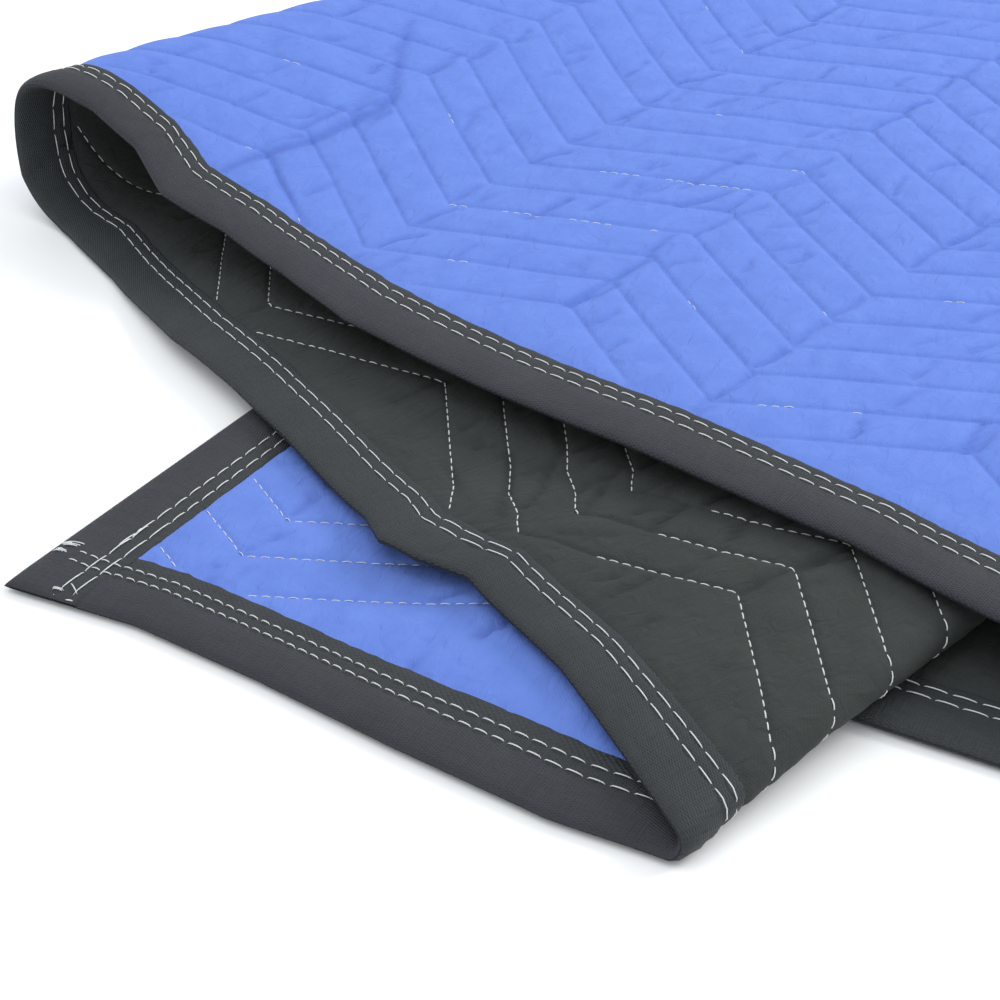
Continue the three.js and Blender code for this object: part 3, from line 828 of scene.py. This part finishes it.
# One binding: the closed section of the folded tape, carried from station to station
def makeBinding(name, stations, locate, flip):
    profile = tapeProfile[::-1] + [(into, -n) for into, n in tapeProfile[1:]]
    inner = [(25.4, -1.2), (2.0, -0.9), (2.0, 0.9), (25.4, 1.2)]
    section = np.array(profile + inner)
    count = len(section)
    length = len(stations)
    into = np.tile(section[:, 0], length)
    n = np.tile(section[:, 1], length)
    station = np.repeat(stations, count)
    pull = np.exp(-(((station / binding["dimplePitch"]) % 1 - 0.5) * 2) ** 2 * 6)
    for row in binding["rows"]:
        near = np.exp(-((into - row) / binding["dimpleReach"]) ** 2)
        dimple = binding["dimpleDepth"] * pull * near
        n = n - np.sign(n) * dimple * (np.abs(n) > 1.5)
    puff = clothNoise(station / 13 + 5, into / 9, len(name)) * binding["puff"]
    puff = puff + clothNoise(station / 4.5 + 9, into / 7, len(name) + 3) * binding["finePuff"]
    n = n + np.sign(n) * puff * ease(1, 5, into) * (1 - ease(13, 17, into))
    lip = clothNoise(station / 3.1, into * 0, len(name) + 7) * binding["lipWander"]
    into = into + lip * (into > 25) * (np.abs(n) > binding["skin"])
    if name in ("leftTape", "rightTape"):
        full = 8.5
        fromEnd = np.clip(np.minimum(station, blanket["width"] - station), 0, full)
        n = n * np.maximum(0.25, tapeHeight(fromEnd) / tapeHeight(full))
    if name == "frontTape":
        for at, lean, width, deep in tapeCreases:
            away = (station - at - lean * (into - 12)) / width
            crease = deep * np.exp(-away ** 2) * ease(1, 6, into)
            n = n - np.sign(n) * crease * (np.abs(n) > binding["skin"])
    s, t = locate(station, into)
    placed = place(s, t, n)
    faces = []
    for i in range(length - 1):
        for k in range(count):
            m = (k + 1) % count
            face = (i * count + k, i * count + m, (i + 1) * count + m, (i + 1) * count + k)
            faces.append(face[::-1] if flip else face)
    start, end = tuple(range(count)), tuple(range((length - 1) * count, length * count))
    faces += [start, end[::-1]] if flip else [start[::-1], end]
    otherSide = 60
    uv = np.stack([station, into + (n < 0) * otherSide], -1)
    piece = makeMesh(name, placed, faces, blackTape, uv)
    print(name, "faces", len(faces))
    return piece


tapeStart = binding["face"]
longStations = np.linspace(tapeStart, blanket["length"] - tapeStart, 760)
shortEnd = [0.0, 0.15, 0.7, 1.7, 3.2]
shortStations = np.array(
    shortEnd + list(np.linspace(5.0, blanket["width"] - 5.0, 324))
    + [blanket["width"] - step for step in reversed(shortEnd)])
frontTape = makeBinding("frontTape", longStations, frontTapeAt, True)
backTape = makeBinding("backTape", longStations, lambda a, b: (a, blanket["width"] - b), False)
leftTape = makeBinding(
    "leftTape", shortStations,
    lambda a, b: (b, a + cornerShift["moved"][0] * (1 - ease(0, 20, a))), False)
rightTape = makeBinding("rightTape", shortStations, lambda a, b: (blanket["length"] - b, a), True)


# Thread stitches: each is one short tube that dips into the cloth at both its ends
def makeStitches(name, starts, ends, heights, radius, sides=5, sunk=None):
    shares = np.array([0.0, 0.14, 0.38, 0.62, 0.86, 1.0])
    dips = np.array([-0.5, 0.15, 0.32, 0.32, 0.15, -0.5])
    thick = np.array([0.45, 0.9, 1.0, 1.0, 0.9, 0.45])
    count, knots = len(starts), len(shares)
    flat = starts[:, None, :] + (ends - starts)[:, None, :] * shares[None, :, None]
    lift = heights(flat[..., 0], flat[..., 1])
    dips = dips if sunk is None else dips[None, :] - sunk[:, None]
    sign = np.sign(lift[:, :1])
    path = place(flat[..., 0], flat[..., 1], lift + sign * dips)
    above = place(flat[..., 0], flat[..., 1], lift + sign * (dips + 1))
    normal = above - path
    normal /= np.linalg.norm(normal, axis=-1, keepdims=True)
    tangent = np.gradient(path, axis=1)
    tangent /= np.linalg.norm(tangent, axis=-1, keepdims=True)
    across = np.cross(tangent, normal)
    across /= np.linalg.norm(across, axis=-1, keepdims=True)
    normal = np.cross(across, tangent)
    angles = 2 * math.pi * np.arange(sides) / sides
    ring = (across[:, :, None] * np.cos(angles)[None, None, :, None]
            + normal[:, :, None] * np.sin(angles)[None, None, :, None])
    points = path[:, :, None] + ring * (radius * mm * thick)[None, :, None, None]
    faces = []
    for i in range(count):
        base = i * knots * sides
        for k in range(knots - 1):
            for m in range(sides):
                a, b = base + k * sides + m, base + k * sides + (m + 1) % sides
                faces.append((a, a + sides, b + sides, b))
        faces.append(tuple(base + m for m in range(sides)))
        last = base + (knots - 1) * sides
        faces.append(tuple(last + m for m in reversed(range(sides))))
    piece = makeMesh(name, points.reshape(-1, 3), faces, whiteThread)
    print(name, "stitches", count)
    return piece


# Splits a run of the flat cloth into stitches; pitch and gap are tables over the run's length
def stitchRun(points, pitch, gap, seed, wobble=0.12):
    rng = np.random.default_rng(seed)
    points = np.asarray(points, float)
    lengths = np.linalg.norm(np.diff(points, axis=0), axis=1)
    total = np.concatenate([[0], np.cumsum(lengths)])
    marks = [0.0]
    while marks[-1] < total[-1]:
        step = np.interp(marks[-1], *np.transpose(pitch)) * rng.uniform(0.94, 1.06)
        marks.append(marks[-1] + max(0.8, float(step)))
    marks[-1] = total[-1]
    marks = np.array(marks)
    gaps = np.interp(marks[:-1], *np.transpose(gap)) * rng.uniform(0.8, 1.2, len(marks) - 1)
    first, last = marks[:-1] + gaps / 2, marks[1:] - gaps / 2
    wide = last - first > 0.4
    start = np.stack([np.interp(first[wide], total, points[:, k]) for k in (0, 1)], -1)
    end = np.stack([np.interp(last[wide], total, points[:, k]) for k in (0, 1)], -1)
    start += rng.uniform(-wobble, wobble, start.shape)
    end += rng.uniform(-wobble, wobble, end.shape)
    return start, end


# Height of the tape's outside at a flat point; the short tapes lie over the corners
def tapeOver(s, t):
    short = np.minimum(s, blanket["length"] - s)
    long = np.minimum(t, blanket["width"] - t)
    return tapeHeight(np.maximum(0.0, np.where(short < binding["face"] + 0.2, short, long)))


# Pitch and gap of the twin rows along each edge, as tables over the length
sewing = {
    "frontBlue": (
        [(0, 4.0), (90, 4.4), (140, 5.2), (200, 7.3)], [(0, 0.9), (215, 1.0), (640, 0.75)]),
    "frontBlack": ([(0, 8.5)], [(200, 0.3), (235, 0.8), (300, 0.3), (620, 0.25)]),
    "shortBlue": ([(0, 11.0), (34, 11.0), (46, 7.2)], [(0, -0.9), (40, -0.9), (46, 0.6)]),
    "plain": ([(0, 7.3)], [(0, 0.7)]),
    "radius": 0.21,
    "quiltGap": 0.75,
    "blueRadius": 0.19,
    "blackRadius": 0.24,
    "quiltSink": 0.22,
    "cornerRadius": 0.2,
    "cornerLift": 0.1,
    "endRadius": 0.24,
    "endHeight": 0.6,
}
stitchPieces = []


def tapeStitches(name, runs, tables, seed):
    for side, label, (pitch, gap) in ((1, "Blue", tables[0]), (-1, "Black", tables[1])):
        starts, ends = [], []
        for index, run in enumerate(runs):
            start, end = stitchRun(run, pitch, gap, seed + index + side)
            starts.append(start)
            ends.append(end)
        starts, ends = np.concatenate(starts), np.concatenate(ends)
        stitchPieces.append(makeStitches(
            name + label, starts, ends, lambda s, t: side * tapeOver(s, t), sewing["radius"]))


frontStops = np.linspace(9.0, blanket["length"] - 1.0, 400)
longRuns = [np.stack(frontTapeAt(frontStops, np.full_like(frontStops, row)), -1)
            for row in binding["rows"]]
tapeStitches("frontThread", longRuns, (sewing["frontBlue"], sewing["frontBlack"]), 100)
backRuns = [[(1.0, blanket["width"] - row), (blanket["length"] - 1.0, blanket["width"] - row)]
            for row in binding["rows"]]
tapeStitches("backThread", backRuns, (sewing["plain"], sewing["plain"]), 200)
leftRuns = [[(row, 1.6), (row, blanket["width"] - 1.0)] for row in binding["rows"]]
tapeStitches("leftThread", leftRuns, (sewing["shortBlue"], sewing["plain"]), 300)
rightRuns = [[(blanket["length"] - row, 1.0), (blanket["length"] - row, blanket["width"] - 1.0)]
             for row in binding["rows"]]
tapeStitches("rightThread", rightRuns, (sewing["plain"], sewing["plain"]), 400)

# The left corner's loose work: runs over both rows, a link between them, and thread ends
cornerRuns = [
    [(17.0, 25.0), (17.7, 33.0), (17.3, 42.0)], [(16.7, 28.0), (17.1, 40.0)],
    [(17.8, 5.7), (22.6, 2.4)], [(18.2, 2.0), (14.9, 1.4)], [(18.0, 1.6), (15.2, 0.9)],
]
looseEnds = np.array([[(15.4, -0.3), (17.4, -0.4)], [(20.6, -0.9), (23.8, -0.4)]])
# Strokes of the bar tack: s from and to, t from and to, how many, how long
tackClusters = [((0.9, 2.6), (20.8, 23.4), 7, 6.0), ((0.8, 2.4), (16.9, 18.9), 5, 4.0)]


# A bar tack: short strokes laid close together where each long row ends
def barTack(seed, clusters):
    rng = np.random.default_rng(seed)
    starts, ends = [], []
    for (fromS, toS), (fromT, toT), count, length in clusters:
        start = np.stack([rng.uniform(fromS, toS, count), rng.uniform(fromT, toT, count)], -1)
        reach = np.stack([rng.uniform(0.5, 1.2, count) * length, rng.normal(0.1, 1.0, count)], -1)
        starts.append(start)
        ends.append(start + reach)
    return np.concatenate(starts), np.concatenate(ends)


starts, ends = barTack(71, tackClusters)
for index, run in enumerate(cornerRuns):
    start, end = stitchRun(run, [(0, 9.0)], [(0, -0.3)], 720 + index, 0.05)
    starts, ends = np.concatenate([starts, start]), np.concatenate([ends, end])
stitchPieces.append(makeStitches(
    "cornerThread", starts, ends, lambda s, t: tapeOver(s, t) + sewing["cornerLift"],
    sewing["cornerRadius"]))
stitchPieces.append(makeStitches(
    "threadEnds", looseEnds[:, 0], looseEnds[:, 1],
    lambda s, t: np.full_like(s, sewing["endHeight"]), sewing["endRadius"]))


# Stretches of seam where the thread stands up out of the blue cloth: s from, s to, row
threadShows = [
    (850, 859, 2), (868, 886, 2), (893, 907, 2), (876, 891, 4), (898, 925, 4), (926, 933, 5),
    (879, 889, 0), (1021, 1029, 0), (1027, 1034, 4), (806, 812, 3), (961, 966, 1), (742, 748, 2),
]


# Quilting thread along the zigzag seams, where a cover is open to view
def quiltThread(name, side, shown, radius, seed):
    starts, ends = [], []
    for row in range(-3, 27):
        corners = zigzag[:, 0]
        s = np.sort(np.concatenate([corners, np.arange(28, blanket["length"] - 27, 4.0)]))
        t = riseAt(s) + row * rowPitch
        start, end = stitchRun(np.stack([s, t], -1), [(0, quilting["stitchPitch"])],
                               [(0, sewing["quiltGap"])], seed + row, 0.1)
        s, t = (start + end).T / 2
        clear = edgeDistance(s, t) > binding["face"] + 2.0
        keep = clear & shown(s, t, row) & (row >= firstRow(s))
        starts.append(start[keep])
        ends.append(end[keep])
    starts, ends = np.concatenate(starts), np.concatenate(ends)
    sunk = sewing["quiltSink"] * np.random.default_rng(seed).random(len(starts))
    return makeStitches(
        name, starts, ends, lambda s, t: side * coverHeight(s, t, side), radius, 4, sunk)


# Where the blue side's thread is open to view, and where the black side's is
def blueShown(s, t, row):
    out = (s < 215) & (t < 215)
    for start, end, number in threadShows:
        out = out | ((row == number) & (s > start) & (s < end))
    peeping = clothNoise(s / 5.0, row * 3.7 + s * 0, 77) > 0.86
    return out | (peeping & (s > 700) & (s < 1285))


def blackShown(s, t, row):
    nearSide = (s > 210) & (s < 660) & (t < 240) & ~((s > 336) & (s < 357))
    return nearSide | ((s >= 660) & (s < 900) & (t < 130)) | ((s > 1255) & (t < 130))


stitchPieces.append(quiltThread("quiltThreadBlue", 1, blueShown, sewing["blueRadius"], 500))
stitchPieces.append(quiltThread("quiltThreadBlack", -1, blackShown, sewing["blackRadius"], 600))
for piece in stitchPieces:
    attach(piece, "root")
print("sewing ready")

for piece, node, slotName in (
    (faceCover, "face_panel", "face_cloth"), (backCover, "back_panel", "back_cloth"),
    (frontTape, "front_binding", "binding_tape"), (backTape, "back_binding", "binding_tape"),
    (leftTape, "left_binding", "binding_tape"), (rightTape, "right_binding", "binding_tape"),
):
    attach(piece, "root")
    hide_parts(node)

# Camera, floor and light; a lamp has its place, target and size in metres, watts and colour
view = {
    "azimuth": 41.0, "elevation": 35.35, "distance": 681.7, "lens": 76.67,
    "target": (-7.0, -244.63, 0.0),
}
lamps = {
    "keyBackRight": ((1.0, 1.77, 1.35), (0, -0.1, 0), 0.9, 36.5, (1, 0.99, 0.97)),
    "softTop": ((-0.3, -0.6, 2.2), (0, -0.2, 0), 1.8, 12, (0.97, 0.98, 1)),
}
surroundings = {
    "color": (0.95, 0.97, 1, 1), "strength": 0.97, "floorColor": (0.93, 0.945, 0.94),
    "floorRoughness": 0.6, "floorHalf": 4,
}
camera = bpy.data.cameras.new("camera")
camera.lens, camera.sensor_width = view["lens"], 36.0
camera.clip_start, camera.clip_end = 0.01, 20
cameraObject = bpy.data.objects.new("camera", camera)
bpy.context.scene.collection.objects.link(cameraObject)
bpy.context.scene.camera = cameraObject
up, turn = math.radians(view["elevation"]), math.radians(view["azimuth"])
away = np.array([math.sin(turn) * math.cos(up), -math.cos(turn) * math.cos(up), math.sin(up)])
cameraObject.location = (np.array(view["target"]) + away * view["distance"]) * mm
cameraObject.rotation_euler = (math.radians(90) - up, 0, turn)

floorMaterial = plainFinish(
    "floorPaper", surroundings["floorColor"], surroundings["floorRoughness"])
floorMesh = bpy.data.meshes.new("floor")
half = surroundings["floorHalf"]
floorMesh.from_pydata(
    [(-half, -half, 0), (half, -half, 0), (half, half, 0), (-half, half, 0)], [], [(0, 1, 2, 3)])
floorMesh.materials.append(floorMaterial)
floor = bpy.data.objects.new("floor", floorMesh)
bpy.context.scene.collection.objects.link(floor)


def areaLight(name, spot, target, size, power, color):
    light = bpy.data.lights.new(name, "AREA")
    light.shape, light.size, light.energy, light.color = "SQUARE", size, power, color
    holder = bpy.data.objects.new(name, light)
    holder.location = spot
    direction = np.array(target) - np.array(spot)
    holder.rotation_euler = mathutils.Vector(direction).to_track_quat("-Z", "Y").to_euler()
    bpy.context.scene.collection.objects.link(holder)


for lampName, values in lamps.items():
    areaLight(lampName, *values)
world = bpy.data.worlds.new("studio")
world.use_nodes = True
background = world.node_tree.nodes["Background"]
background.inputs[0].default_value = surroundings["color"]
background.inputs[1].default_value = surroundings["strength"]
bpy.context.scene.world = world
bpy.context.scene.view_settings.view_transform = "Standard"
print("camera, floor and light ready")
